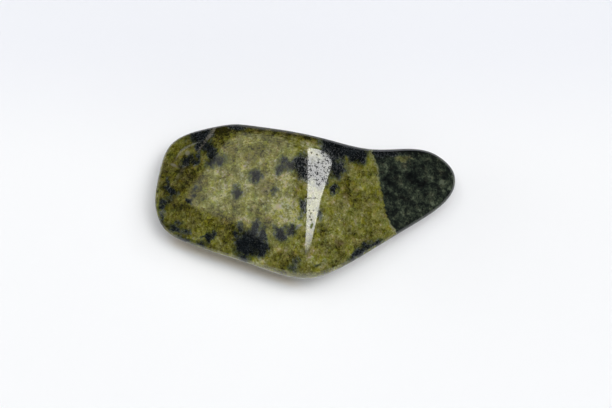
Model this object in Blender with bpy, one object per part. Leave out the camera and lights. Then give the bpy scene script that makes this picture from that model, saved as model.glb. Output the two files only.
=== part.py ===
"""Tumbled and polished serpentine pebble: one natural piece of stone.

The body is a flat-topped, wide left end that runs down to a narrower raised
nose at +X.  Its surface is the blend of a few worn faces: the level top, a
narrow three-cornered face beside it, the long slope down to the nose, two
faces at the back left, one at the front left, a round belly and a small flat
spot that it stands on.  The line where the sides turn under is an outline
curve read in a fixed view direction, with its own height and edge rounding at
each station round the stone.

Lengths are in millimetres up to the last step, which writes metres.
"""

import math

import bmesh
import bpy
import numpy as np

MM = 0.001

# ---- driving dimensions (mm, degrees) -------------------------------------
LENGTH = 36.1            # nose to blunt end, sets the outline's scale
TOP_HEIGHT = 10.4        # level top above the surface it stands on
GRID = (44, 26, 16)      # quads along x, y and z of the grid wrapped on the stone

# direction in which the outline is read: its height above the horizon, and
# the distance of the eye from the point AIM_HEIGHT above the middle
VIEW_ELEVATION = 72.0
VIEW_DISTANCE = 300.0
AIM_HEIGHT = 5.0

# silhouette in that view, right and up from the middle, in mm for LENGTH 36.1
OUTLINE = [
    (18.09, 2.47), (17.74, 3.83), (16.74, 4.94), (15.36, 5.86), (13.80, 6.28),
    (12.00, 6.35), (9.95, 6.24), (7.78, 6.26), (5.38, 6.71), (2.75, 7.45),
    (-0.03, 8.12), (-2.80, 8.62), (-5.68, 9.00), (-8.05, 9.31), (-10.00, 9.14),
    (-12.31, 8.67), (-14.36, 8.18), (-16.03, 7.21), (-16.97, 5.61),
    (-17.48, 3.80), (-17.89, 1.86), (-18.09, 0.06), (-17.84, -1.62),
    (-17.13, -3.18), (-15.77, -4.27), (-13.84, -5.11), (-11.20, -6.07),
    (-8.62, -6.83), (-6.40, -7.60), (-4.24, -8.38), (-2.08, -9.07),
    (-0.16, -9.35), (1.54, -9.13), (3.22, -8.52), (5.38, -7.39),
    (7.78, -5.98), (10.18, -4.51), (12.58, -3.10), (14.98, -1.65),
    (16.62, -0.39), (17.69, 0.99),
]

# how far the turning line lies below the edge of the upper faces, by bearing
# in that view (degrees from the nose)
RIM_DROP = [
    (2, 0.7), (20, 0.6), (30, 0.7), (40, 0.75), (60, 0.8), (80, 0.9),
    (95, 0.9), (106, 0.85), (116, 0.95), (125, 1.05), (132, 0.95), (140, 0.42),
    (150, 0.25), (170, 0.25), (185, 0.4), (200, 0.7), (220, 0.8), (236, 0.95),
    (250, 1.4), (261, 1.9), (271, 2.1), (282, 1.8), (296, 1.1), (306, 0.75),
    (315, 0.6), (335, 0.6), (350, 0.7),
]
# rounding above and below that line
EDGE_RADIUS = [
    (8, 0.9), (35, 0.9), (60, 0.7), (80, 0.5), (125, 0.45), (140, 0.42),
    (152, 0.28), (185, 0.28), (197, 0.6), (220, 1.0), (245, 1.4), (258, 1.9),
    (270, 2.2), (282, 2.0), (296, 1.3), (306, 0.7), (315, 0.5), (328, 0.6),
    (345, 0.8),
]
BELLY_RADIUS = [
    (8, 4.5), (40, 7.0), (90, 9.0), (150, 8.0), (200, 7.0), (320, 7.0),
]
# how far in, for each mm up, the worn edge runs once it is past its rounding
EDGE_RUN = [
    (20, 1.2), (60, 1.0), (90, 0.95), (130, 0.95), (148, 1.3), (200, 1.3), (330, 1.3),
]
EDGE_DEPTH = 1.6         # and how far in it reaches at most

# level top and the three-cornered face beside it, both barely crowned
TOP_CROWN_X = 100.0
TOP_CROWN_Y = 80.0
TOP_MIDDLE = (-5.5, 0.3)
RIDGE_X = 0.40           # ridge between the two
RIDGE_SKEW = 0.012       # its drift in x for each mm in y
SIDE_FACE_LEAN = 10.0
# the long slope to the nose meets the three-cornered face on this line
SLOPE_LINE = ((3.20, 3.68), (0.55, -7.28))
SLOPE_LEAN = 19.0
SLOPE_ROUNDING = 0.0022  # extra crown that grows towards the nose

# worn faces: lean from level, bearing they look to, a point on each
FACES = [
    (20.0, 144.0, (-12.07, 2.49, 10.15)),     # back left, beside the top
    (34.0, 144.5, (-14.30, 2.71, 9.46)),      # back left, outer
    (27.0, 241.0, (-8.64, -5.62, 9.93)),      # front left
    (26.0, 200.0, (-15.7, -1.6, 9.35)),       # blunt end
]
# faces of the underside, seen only when the stone is turned over
UNDER_FACES = [
    (171.0, 0.0, (4.6, 0.0, 0.0)),            # climb to the nose
    (167.0, 184.0, (-9.2, 0.0, 0.0)),         # climb to the blunt end
    (122.0, 100.0, (-4.0, 8.2, 3.1)),         # back, low
    (131.0, 205.0, (-14.4, -3.9, 2.5)),       # blunt end, low
    (130.0, 300.0, (4.0, -7.0, 2.2)),         # front, low
]

# belly: a trough-like bowl cut off level, which leaves the small flat spot
BOWL_MIDDLE = (-2.6, 0.1)
BOWL_RADIUS_X = 220.0
BOWL_RADIUS_Y = 10.5
BOWL_DROP = 0.74

# sharpness of the blends, per mm: larger is crisper
BLEND_TOP = 20.0
BLEND_FACES = 9.0
BLEND_UNDER = 2.0
BLEND_ALL = 5.5

COLOUR = (0.128, 0.132, 0.040, 1.0)
ROUGHNESS = 0.16

ELEV = math.radians(VIEW_ELEVATION)
SIN_E, COS_E = math.sin(ELEV), math.cos(ELEV)
STATIONS = 720
CELL = 0.25              # grid of the distance table, mm


def smooth_table(angles, values, sigma):
    """Values at STATIONS even bearings, joined in a ring and smoothed."""
    grid = np.linspace(-math.pi, math.pi, STATIONS, endpoint=False)
    order = np.argsort(angles)
    a, v = np.asarray(angles)[order], np.asarray(values)[order]
    turn = 2 * math.pi
    ring = np.interp(grid, np.r_[a - turn, a, a + turn], np.r_[v, v, v])
    reach = np.arange(-int(4 * sigma), int(4 * sigma) + 1)
    weights = np.exp(-(reach ** 2) / (2 * sigma ** 2))
    weights /= weights.sum()
    return sum(w * np.roll(ring, s) for w, s in zip(weights, reach))


def outline_curve():
    """The outline as a closed smooth curve through its points."""
    pts = np.array(OUTLINE) * (LENGTH / 36.1)
    count = len(pts)
    curve = []
    for i in range(count):
        p0, p1, p2, p3 = pts[i - 1], pts[i], pts[(i + 1) % count], pts[(i + 2) % count]
        for k in range(20):
            t = k / 20
            curve.append(0.5 * (2 * p1 + (p2 - p0) * t
                                + (2 * p0 - 5 * p1 + 4 * p2 - p3) * t * t
                                + (3 * p1 - p0 - 3 * p2 + p3) * t ** 3))
    curve = np.array(curve)
    reach = np.arange(-24, 25)
    weights = np.exp(-(reach ** 2) / (2 * 8.0 ** 2))
    weights /= weights.sum()
    return sum(w * np.roll(curve, s, axis=0) for w, s in zip(weights, reach))


def nearest_tables(curve):
    """On a square grid: signed distance to the outline, negative inside, and
    the bearing and v of the outline's nearest point."""
    gu = np.arange(-22.0, 22.0 + CELL, CELL)
    gv = np.arange(-13.0, 13.0 + CELL, CELL)
    u, v = np.meshgrid(gu, gv, indexing="ij")
    nearest = np.full(u.shape, 1e9)
    near_u, near_v = np.zeros(u.shape), np.zeros(u.shape)
    inside = np.zeros(u.shape, bool)
    for (au, av), (bu, bv) in zip(curve, np.roll(curve, -1, axis=0)):
        du, dv = bu - au, bv - av
        t = np.clip(((u - au) * du + (v - av) * dv) / (du * du + dv * dv), 0, 1)
        gap = np.hypot(u - au - t * du, v - av - t * dv)
        closer = gap < nearest
        nearest = np.where(closer, gap, nearest)
        near_u = np.where(closer, au + t * du, near_u)
        near_v = np.where(closer, av + t * dv, near_v)
        if av != bv:
            inside ^= ((av > v) != (bv > v)) & (u < du * (v - av) / dv + au)
    return np.where(inside, -nearest, nearest), np.arctan2(near_v, near_u), near_v


def bearing_table(stations, sigma=10.0):
    angles = [(math.radians(a) + math.pi) % (2 * math.pi) - math.pi for a, _ in stations]
    return smooth_table(angles, [v for _, v in stations], sigma)


CURVE = outline_curve()
DISTANCE, NEAR_BEARING, NEAR_V = nearest_tables(CURVE)
RADIUS = smooth_table(np.arctan2(CURVE[:, 1], CURVE[:, 0]), np.hypot(CURVE[:, 0], CURVE[:, 1]), 4.0)
EDGE = bearing_table(EDGE_RADIUS)
RUN = bearing_table(EDGE_RUN)
BELLY = bearing_table(BELLY_RADIUS)


def read(table, theta):
    x = (theta + math.pi) / (2 * math.pi) * STATIONS
    low = np.floor(x).astype(int)
    f = x - low
    return table[low % STATIONS] * (1 - f) + table[(low + 1) % STATIONS] * f


def near_outline(u, v):
    """Reads the grids with cubic B-splines, so that they leave no creases."""
    x, y = (u + 22.0) / CELL, (v + 13.0) / CELL
    x = np.clip(x, 1.0, DISTANCE.shape[0] - 3.001)
    y = np.clip(y, 1.0, DISTANCE.shape[1] - 3.001)
    i, j = np.floor(x).astype(int), np.floor(y).astype(int)
    taps = []
    for f in (x - i, y - j):
        taps.append(((1 - f) ** 3 / 6, (3 * f ** 3 - 6 * f ** 2 + 4) / 6,
                     (-3 * f ** 3 + 3 * f ** 2 + 3 * f + 1) / 6, f ** 3 / 6))
    total = 0.0
    for a in range(4):
        for b in range(4):
            total = total + (taps[0][a] * taps[1][b])[..., None] * GRIDS[i + a - 1, j + b - 1]
    return np.moveaxis(total, -1, 0)


def blend(values, sharpness):
    """Smooth largest value: the intersection of the solids, with worn edges."""
    top = np.maximum.reduce(values)
    total = sum(np.exp(sharpness * (v - top)) for v in values)
    return top + np.log(total) / sharpness


def side(x, y, z):
    """Round wall that has the outline as its silhouette in the view."""
    rise = z - AIM_HEIGHT
    depth = -COS_E * y + SIN_E * rise
    scale = VIEW_DISTANCE / (VIEW_DISTANCE - depth)
    distance, rim_depth, edge, run, belly = near_outline(
        x * scale, (SIN_E * y + COS_E * rise) * scale)
    above = np.maximum(depth - rim_depth, 0)
    below = np.minimum(depth - rim_depth, 0)
    edge = edge * run
    worn = run * (np.sqrt(edge ** 2 + above ** 2) - edge)
    return (distance + worn / (1 + (worn / EDGE_DEPTH) ** 3) ** (1 / 3)
            + np.sqrt(belly ** 2 + below ** 2) - belly)


def face(x, y, z, lean, bearing, point):
    a, b = math.radians(lean), math.radians(bearing)
    n = (math.sin(a) * math.cos(b), math.sin(a) * math.sin(b), math.cos(a))
    return sum(c * (q - p) for c, q, p in zip(n, (x, y, z), point))


def crown(y):
    return (y - TOP_MIDDLE[1]) ** 2 / (2 * TOP_CROWN_Y)


SIDE_FALL = math.tan(math.radians(SIDE_FACE_LEAN))
SLOPE_FALL = math.tan(math.radians(SLOPE_LEAN))
RIDGE_TOP = TOP_HEIGHT - (RIDGE_X - TOP_MIDDLE[0]) ** 2 / (2 * TOP_CROWN_X)


def side_face_height(x, y):
    return RIDGE_TOP - SIDE_FALL * (x - RIDGE_X - RIDGE_SKEW * y) - crown(y)


def slope_plane():
    """Height at x = y = 0 and climb in y of the slope through SLOPE_LINE."""
    (ax, ay), (bx, by) = SLOPE_LINE
    a = side_face_height(ax, ay) + SLOPE_FALL * ax + crown(ay)
    b = side_face_height(bx, by) + SLOPE_FALL * bx + crown(by)
    climb = (b - a) / (by - ay)
    return a - climb * ay, climb


SLOPE_BASE, SLOPE_CLIMB = slope_plane()


def upper(x, y, z):
    """The worn upper faces together: negative below them."""
    top = z - (TOP_HEIGHT - (x - TOP_MIDDLE[0]) ** 2 / (2 * TOP_CROWN_X) - crown(y))
    beside = (z - side_face_height(x, y)) * math.cos(math.radians(SIDE_FACE_LEAN))
    out = np.logaddexp(0, 1.2 * (x - 5.5)) / 1.2
    slope = (z - (SLOPE_BASE - SLOPE_FALL * x + SLOPE_CLIMB * y - crown(y)
                  - SLOPE_ROUNDING * out * (y - 1.5) ** 2)) \
        / math.sqrt(1 + SLOPE_FALL ** 2 + SLOPE_CLIMB ** 2)
    faces = [blend([top, beside, slope], BLEND_TOP)]
    return blend(faces + [face(x, y, z, *f) for f in FACES], BLEND_FACES)


def rim_table():
    """Height of the turning line: the upper faces' edge less its drop."""
    theta = np.linspace(-math.pi, math.pi, STATIONS, endpoint=False)
    radius = read(RADIUS, theta)
    u, v = radius * np.cos(theta), radius * np.sin(theta)
    low, high = np.full(STATIONS, 1.0), np.full(STATIONS, 13.0)
    for _ in range(30):
        z = (low + high) / 2
        scale = 1.0
        for _ in range(3):
            y = (v / scale - COS_E * (z - AIM_HEIGHT)) / SIN_E
            depth = -COS_E * y + SIN_E * (z - AIM_HEIGHT)
            scale = VIEW_DISTANCE / (VIEW_DISTANCE - depth)
        inside = upper(u / scale, y, z) < 0
        low, high = np.where(inside, z, low), np.where(inside, high, z)
    return smooth_table(theta, low - bearing_table(RIM_DROP), 9.0)


def wall_grids():
    """Distance, depth of the turning line, edge and belly shape, together."""
    rim_rise = read(rim_table(), NEAR_BEARING) - AIM_HEIGHT
    rim_y = (NEAR_V - COS_E * rim_rise) / SIN_E
    return np.stack([DISTANCE, -COS_E * rim_y + SIN_E * rim_rise,
                     read(EDGE, NEAR_BEARING), read(RUN, NEAR_BEARING),
                     read(BELLY, NEAR_BEARING)], axis=-1)


GRIDS = wall_grids()


def stone(p):
    """Negative inside the stone, zero on its surface (mm)."""
    x, y, z = p[..., 0], p[..., 1], p[..., 2]
    bx, by = (x - BOWL_MIDDLE[0]) / BOWL_RADIUS_X, (y - BOWL_MIDDLE[1]) / BOWL_RADIUS_Y
    bowl = (BOWL_RADIUS_X * bx ** 2 / 2 + BOWL_RADIUS_Y * by ** 2 / 2 - BOWL_DROP - z) \
        / np.sqrt(1 + bx ** 2 + by ** 2)
    lower = [side(x, y, z), bowl] + [face(x, y, z, *f) for f in UNDER_FACES]
    return blend([upper(x, y, z), blend(lower, BLEND_UNDER), -z], BLEND_ALL)


def turning_line():
    """Points along the line where the sides turn under."""
    depth = near_outline(CURVE[:, 0], CURVE[:, 1])[1]
    u, v = (CURVE * ((VIEW_DISTANCE - depth) / VIEW_DISTANCE)[:, None]).T
    return np.stack([u, SIN_E * v - COS_E * depth, COS_E * v + SIN_E * depth + AIM_HEIGHT], -1)


# ---- mesh ------------------------------------------------------------------
HEART = np.array([-2.0, -0.3, 5.4])      # inside point that the rays start from
REACH = np.array([18.0, 9.6, 6.2])       # stretches the ball of rays lengthwise
FLAT = 0.03                              # this close to the floor counts as flat
RIM_SHARE = 9 / 16                       # grid level, up the sides, that is bent
                                         # to follow the turning line


def box_grid():
    """Lattice points of a box's surface and its quads, each facing out."""
    points, quads, count = [], [], 0
    for axis in range(3):
        b, c = (axis + 1) % 3, (axis + 2) % 3
        jb, jc = np.meshgrid(np.arange(GRID[b] + 1), np.arange(GRID[c] + 1), indexing="ij")
        for end in (0, GRID[axis]):
            sheet = np.zeros(jb.shape + (3,), int)
            sheet[..., axis], sheet[..., b], sheet[..., c] = end, jb, jc
            index = count + np.arange(jb.size).reshape(jb.shape)
            around = (index[:-1, :-1], index[1:, :-1], index[1:, 1:], index[:-1, 1:])
            quad = np.stack(around, -1).reshape(-1, 4)
            quads.append(quad if end else quad[:, ::-1])
            points.append(sheet.reshape(-1, 3))
            count += jb.size
    points, shared = np.unique(np.concatenate(points), axis=0, return_inverse=True)
    return points, shared.reshape(-1)[np.concatenate(quads)]


def aim(lattice):
    """Ray directions of lattice points, with one level on the turning line."""
    box = np.tan((lattice / np.array(GRID) * 2 - 1) * (math.pi / 4))
    flat = box[:, :2] * REACH[:2]
    line = turning_line() - HEART
    away = np.hypot(line[:, 0], line[:, 1])
    climb = np.interp(np.arctan2(flat[:, 1], flat[:, 0]), np.arctan2(line[:, 1], line[:, 0]),
                      line[:, 2] / away, period=2 * math.pi)
    rim = climb * np.hypot(flat[:, 0], flat[:, 1]) / REACH[2]
    level = math.tan((round(RIM_SHARE * GRID[2]) / GRID[2] * 2 - 1) * math.pi / 4)
    z = box[:, 2]
    over = np.clip((z - level) / (1 - level), 0, 1) ** 1.25
    under = np.clip((level - z) / (level + 1), 0, 1) ** 1.25
    box[:, 2] = rim + (1 - rim) * over - (1 + rim) * under
    return box / np.linalg.norm(box, axis=1, keepdims=True) * REACH


def cast(lattice):
    """Moves lattice points out along rays to the stone's surface."""
    rays = aim(lattice)
    low, high = np.full(len(rays), 0.2), np.full(len(rays), 1.9)
    for _ in range(44):
        mid = (low + high) / 2
        inside = stone(HEART + rays * mid[:, None]) < 0
        low, high = np.where(inside, mid, low), np.where(inside, high, mid)
    found = HEART + rays * low[:, None]
    found[:, 2] = np.where(found[:, 2] < FLAT, 0.0, found[:, 2])
    return found


def build_stone():
    lattice, quads = box_grid()
    surface = cast(lattice)
    middle = (surface.min(axis=0) + surface.max(axis=0)) / 2
    surface[:, :2] -= middle[:2]          # origin under the middle of its box
    bm = bmesh.new()
    verts = [bm.verts.new(place) for place in surface * MM]
    for quad in quads:
        bm.faces.new([verts[i] for i in quad])
    mesh = bpy.data.meshes.new("stone")
    bm.to_mesh(mesh)
    bm.free()
    mesh.shade_smooth()
    return mesh


def stone_material():
    material = bpy.data.materials.new("serpentine")
    material.use_nodes = True
    shader = material.node_tree.nodes["Principled BSDF"]
    shader.inputs["Base Color"].default_value = COLOUR
    shader.inputs["Roughness"].default_value = ROUGHNESS
    shader.inputs["Metallic"].default_value = 0.0
    return material


def main():
    for old in list(bpy.data.objects):
        bpy.data.objects.remove(old, do_unlink=True)
    mesh = build_stone()
    mesh.materials.append(stone_material())
    pebble = bpy.data.objects.new("stone", mesh)
    bpy.context.scene.collection.objects.link(pebble)


if __name__ == "__main__":
    main()
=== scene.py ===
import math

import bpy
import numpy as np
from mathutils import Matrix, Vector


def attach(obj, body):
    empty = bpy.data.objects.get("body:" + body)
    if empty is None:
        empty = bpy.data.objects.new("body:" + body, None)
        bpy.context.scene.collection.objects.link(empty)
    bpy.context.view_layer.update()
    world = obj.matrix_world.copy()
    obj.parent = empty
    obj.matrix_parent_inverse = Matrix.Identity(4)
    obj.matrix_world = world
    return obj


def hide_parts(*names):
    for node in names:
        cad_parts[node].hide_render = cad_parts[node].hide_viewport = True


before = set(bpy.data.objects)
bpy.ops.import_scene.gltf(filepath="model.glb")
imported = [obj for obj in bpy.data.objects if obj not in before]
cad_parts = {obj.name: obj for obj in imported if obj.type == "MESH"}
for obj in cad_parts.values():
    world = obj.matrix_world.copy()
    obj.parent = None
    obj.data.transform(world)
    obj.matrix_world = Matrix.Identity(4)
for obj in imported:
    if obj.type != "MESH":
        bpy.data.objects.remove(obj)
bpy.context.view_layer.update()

# Tumbled serpentine pebble on a pale floor under soft studio light.
#
# The visible stone is the CAD stone's own surface formula on a much finer
# grid, with the markings laid into it as fields on its vertices: dark ore
# patches, the dark nose, pale veins, painted glints on the nose, and the tone
# of the ground mass, with painted shade and painted reflection in it.  The
# shader breaks the fields up with solid noise, so edges stay crisp.

MM = 0.001


# ---- driving dimensions (mm, degrees) -------------------------------------
LENGTH = 36.1            # nose to blunt end, sets the outline's scale
TOP_HEIGHT = 10.4        # level top above the surface it stands on

# direction in which the outline is read: its height above the horizon, and
# the distance of the eye from the point AIM_HEIGHT above the middle
VIEW_ELEVATION = 72.0
VIEW_DISTANCE = 300.0
AIM_HEIGHT = 5.0

# silhouette in that view, right and up from the middle, in mm for LENGTH 36.1
OUTLINE = [
    (18.09, 2.47), (17.74, 3.83), (16.74, 4.94), (15.36, 5.86), (13.80, 6.28),
    (12.00, 6.35), (9.95, 6.24), (7.78, 6.26), (5.38, 6.71), (2.75, 7.45),
    (-0.03, 8.12), (-2.80, 8.62), (-5.68, 9.00), (-8.05, 9.31), (-10.00, 9.14),
    (-12.31, 8.67), (-14.36, 8.18), (-16.03, 7.21), (-16.97, 5.61),
    (-17.48, 3.80), (-17.89, 1.86), (-18.09, 0.06), (-17.84, -1.62),
    (-17.13, -3.18), (-15.77, -4.27), (-13.84, -5.11), (-11.20, -6.07),
    (-8.62, -6.83), (-6.40, -7.60), (-4.24, -8.38), (-2.08, -9.07),
    (-0.16, -9.35), (1.54, -9.13), (3.22, -8.52), (5.38, -7.39),
    (7.78, -5.98), (10.18, -4.51), (12.58, -3.10), (14.98, -1.65),
    (16.62, -0.39), (17.69, 0.99),
]

# how far the turning line lies below the edge of the upper faces, by bearing
# in that view (degrees from the nose)
RIM_DROP = [
    (2, 0.7), (20, 0.6), (30, 0.7), (40, 0.75), (60, 0.8), (80, 0.9),
    (95, 0.9), (106, 0.85), (116, 0.95), (125, 1.05), (132, 0.95), (140, 0.42),
    (150, 0.25), (170, 0.25), (185, 0.4), (200, 0.7), (220, 0.8), (236, 0.95),
    (250, 1.4), (261, 1.9), (271, 2.1), (282, 1.8), (296, 1.1), (306, 0.75),
    (315, 0.6), (335, 0.6), (350, 0.7),
]
# rounding above and below that line
EDGE_RADIUS = [
    (8, 0.9), (35, 0.9), (60, 0.7), (80, 0.5), (125, 0.45), (140, 0.42),
    (152, 0.28), (185, 0.28), (197, 0.6), (220, 1.0), (245, 1.4), (258, 1.9),
    (270, 2.2), (282, 2.0), (296, 1.3), (306, 0.7), (315, 0.5), (328, 0.6),
    (345, 0.8),
]
BELLY_RADIUS = [
    (8, 4.5), (40, 7.0), (90, 9.0), (150, 8.0), (200, 7.0), (320, 7.0),
]
# how far in, for each mm up, the worn edge runs once it is past its rounding
EDGE_RUN = [
    (20, 1.2), (60, 1.0), (90, 0.95), (130, 0.95), (148, 1.3), (200, 1.3), (330, 1.3),
]
EDGE_DEPTH = 1.6         # and how far in it reaches at most

# level top and the three-cornered face beside it, both barely crowned
TOP_CROWN_X = 100.0
TOP_CROWN_Y = 80.0
TOP_MIDDLE = (-5.5, 0.3)
RIDGE_X = 0.40           # ridge between the two
RIDGE_SKEW = 0.012       # its drift in x for each mm in y
SIDE_FACE_LEAN = 10.0
# the long slope to the nose meets the three-cornered face on this line
SLOPE_LINE = ((3.20, 3.68), (0.55, -7.28))
SLOPE_LEAN = 19.0
SLOPE_ROUNDING = 0.0022  # extra crown that grows towards the nose

# worn faces: lean from level, bearing they look to, a point on each
FACES = [
    (20.0, 144.0, (-12.07, 2.49, 10.15)),     # back left, beside the top
    (34.0, 144.5, (-14.30, 2.71, 9.46)),      # back left, outer
    (27.0, 241.0, (-8.64, -5.62, 9.93)),      # front left
    (26.0, 200.0, (-15.7, -1.6, 9.35)),       # blunt end
]
# faces of the underside, seen only when the stone is turned over
UNDER_FACES = [
    (171.0, 0.0, (4.6, 0.0, 0.0)),            # climb to the nose
    (167.0, 184.0, (-9.2, 0.0, 0.0)),         # climb to the blunt end
    (122.0, 100.0, (-4.0, 8.2, 3.1)),         # back, low
    (131.0, 205.0, (-14.4, -3.9, 2.5)),       # blunt end, low
    (130.0, 300.0, (4.0, -7.0, 2.2)),         # front, low
]

# belly: a trough-like bowl cut off level, which leaves the small flat spot
BOWL_MIDDLE = (-2.6, 0.1)
BOWL_RADIUS_X = 220.0
BOWL_RADIUS_Y = 10.5
BOWL_DROP = 0.74

# sharpness of the blends, per mm: larger is crisper
BLEND_TOP = 20.0
BLEND_FACES = 9.0
BLEND_UNDER = 2.0
BLEND_ALL = 5.5

ELEV = math.radians(VIEW_ELEVATION)
SIN_E, COS_E = math.sin(ELEV), math.cos(ELEV)
STATIONS = 720
CELL = 0.25              # grid of the distance table, mm


def smooth_table(angles, values, sigma):
    """Values at STATIONS even bearings, joined in a ring and smoothed."""
    grid = np.linspace(-math.pi, math.pi, STATIONS, endpoint=False)
    order = np.argsort(angles)
    a, v = np.asarray(angles)[order], np.asarray(values)[order]
    turn = 2 * math.pi
    ring = np.interp(grid, np.r_[a - turn, a, a + turn], np.r_[v, v, v])
    reach = np.arange(-int(4 * sigma), int(4 * sigma) + 1)
    weights = np.exp(-(reach ** 2) / (2 * sigma ** 2))
    weights /= weights.sum()
    return sum(w * np.roll(ring, s) for w, s in zip(weights, reach))


def outline_curve():
    """The outline as a closed smooth curve through its points."""
    pts = np.array(OUTLINE) * (LENGTH / 36.1)
    count = len(pts)
    curve = []
    for i in range(count):
        p0, p1, p2, p3 = pts[i - 1], pts[i], pts[(i + 1) % count], pts[(i + 2) % count]
        for k in range(20):
            t = k / 20
            curve.append(0.5 * (2 * p1 + (p2 - p0) * t
                                + (2 * p0 - 5 * p1 + 4 * p2 - p3) * t * t
                                + (3 * p1 - p0 - 3 * p2 + p3) * t ** 3))
    curve = np.array(curve)
    reach = np.arange(-24, 25)
    weights = np.exp(-(reach ** 2) / (2 * 8.0 ** 2))
    weights /= weights.sum()
    return sum(w * np.roll(curve, s, axis=0) for w, s in zip(weights, reach))


def nearest_tables(curve):
    """On a square grid: signed distance to the outline, negative inside, and
    the bearing and v of the outline's nearest point."""
    gu = np.arange(-22.0, 22.0 + CELL, CELL)
    gv = np.arange(-13.0, 13.0 + CELL, CELL)
    u, v = np.meshgrid(gu, gv, indexing="ij")
    nearest = np.full(u.shape, 1e9)
    near_u, near_v = np.zeros(u.shape), np.zeros(u.shape)
    inside = np.zeros(u.shape, bool)
    for (au, av), (bu, bv) in zip(curve, np.roll(curve, -1, axis=0)):
        du, dv = bu - au, bv - av
        t = np.clip(((u - au) * du + (v - av) * dv) / (du * du + dv * dv), 0, 1)
        gap = np.hypot(u - au - t * du, v - av - t * dv)
        closer = gap < nearest
        nearest = np.where(closer, gap, nearest)
        near_u = np.where(closer, au + t * du, near_u)
        near_v = np.where(closer, av + t * dv, near_v)
        if av != bv:
            inside ^= ((av > v) != (bv > v)) & (u < du * (v - av) / dv + au)
    return np.where(inside, -nearest, nearest), np.arctan2(near_v, near_u), near_v


def bearing_table(stations, sigma=10.0):
    angles = [(math.radians(a) + math.pi) % (2 * math.pi) - math.pi for a, _ in stations]
    return smooth_table(angles, [v for _, v in stations], sigma)


CURVE = outline_curve()
DISTANCE, NEAR_BEARING, NEAR_V = nearest_tables(CURVE)
RADIUS = smooth_table(np.arctan2(CURVE[:, 1], CURVE[:, 0]), np.hypot(CURVE[:, 0], CURVE[:, 1]), 4.0)
EDGE = bearing_table(EDGE_RADIUS)
RUN = bearing_table(EDGE_RUN)
BELLY = bearing_table(BELLY_RADIUS)


def read(table, theta):
    x = (theta + math.pi) / (2 * math.pi) * STATIONS
    low = np.floor(x).astype(int)
    f = x - low
    return table[low % STATIONS] * (1 - f) + table[(low + 1) % STATIONS] * f


def near_outline(u, v):
    """Reads the grids with cubic B-splines, so that they leave no creases."""
    x, y = (u + 22.0) / CELL, (v + 13.0) / CELL
    x = np.clip(x, 1.0, DISTANCE.shape[0] - 3.001)
    y = np.clip(y, 1.0, DISTANCE.shape[1] - 3.001)
    i, j = np.floor(x).astype(int), np.floor(y).astype(int)
    taps = []
    for f in (x - i, y - j):
        taps.append(((1 - f) ** 3 / 6, (3 * f ** 3 - 6 * f ** 2 + 4) / 6,
                     (-3 * f ** 3 + 3 * f ** 2 + 3 * f + 1) / 6, f ** 3 / 6))
    total = 0.0
    for a in range(4):
        for b in range(4):
            total = total + (taps[0][a] * taps[1][b])[..., None] * GRIDS[i + a - 1, j + b - 1]
    return np.moveaxis(total, -1, 0)


def blend(values, sharpness):
    """Smooth largest value: the intersection of the solids, with worn edges."""
    top = np.maximum.reduce(values)
    total = sum(np.exp(sharpness * (v - top)) for v in values)
    return top + np.log(total) / sharpness


def side(x, y, z):
    """Round wall that has the outline as its silhouette in the view."""
    rise = z - AIM_HEIGHT
    depth = -COS_E * y + SIN_E * rise
    scale = VIEW_DISTANCE / (VIEW_DISTANCE - depth)
    distance, rim_depth, edge, run, belly = near_outline(
        x * scale, (SIN_E * y + COS_E * rise) * scale)
    above = np.maximum(depth - rim_depth, 0)
    below = np.minimum(depth - rim_depth, 0)
    edge = edge * run
    worn = run * (np.sqrt(edge ** 2 + above ** 2) - edge)
    return (distance + worn / (1 + (worn / EDGE_DEPTH) ** 3) ** (1 / 3)
            + np.sqrt(belly ** 2 + below ** 2) - belly)


def face(x, y, z, lean, bearing, point):
    a, b = math.radians(lean), math.radians(bearing)
    n = (math.sin(a) * math.cos(b), math.sin(a) * math.sin(b), math.cos(a))
    return sum(c * (q - p) for c, q, p in zip(n, (x, y, z), point))


def crown(y):
    return (y - TOP_MIDDLE[1]) ** 2 / (2 * TOP_CROWN_Y)


SIDE_FALL = math.tan(math.radians(SIDE_FACE_LEAN))
SLOPE_FALL = math.tan(math.radians(SLOPE_LEAN))
RIDGE_TOP = TOP_HEIGHT - (RIDGE_X - TOP_MIDDLE[0]) ** 2 / (2 * TOP_CROWN_X)


def side_face_height(x, y):
    return RIDGE_TOP - SIDE_FALL * (x - RIDGE_X - RIDGE_SKEW * y) - crown(y)


def slope_plane():
    """Height at x = y = 0 and climb in y of the slope through SLOPE_LINE."""
    (ax, ay), (bx, by) = SLOPE_LINE
    a = side_face_height(ax, ay) + SLOPE_FALL * ax + crown(ay)
    b = side_face_height(bx, by) + SLOPE_FALL * bx + crown(by)
    climb = (b - a) / (by - ay)
    return a - climb * ay, climb


SLOPE_BASE, SLOPE_CLIMB = slope_plane()


def upper(x, y, z):
    """The worn upper faces together: negative below them."""
    top = z - (TOP_HEIGHT - (x - TOP_MIDDLE[0]) ** 2 / (2 * TOP_CROWN_X) - crown(y))
    beside = (z - side_face_height(x, y)) * math.cos(math.radians(SIDE_FACE_LEAN))
    out = np.logaddexp(0, 1.2 * (x - 5.5)) / 1.2
    slope = (z - (SLOPE_BASE - SLOPE_FALL * x + SLOPE_CLIMB * y - crown(y)
                  - SLOPE_ROUNDING * out * (y - 1.5) ** 2)) \
        / math.sqrt(1 + SLOPE_FALL ** 2 + SLOPE_CLIMB ** 2)
    faces = [blend([top, beside, slope], BLEND_TOP)]
    return blend(faces + [face(x, y, z, *f) for f in FACES], BLEND_FACES)


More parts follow.
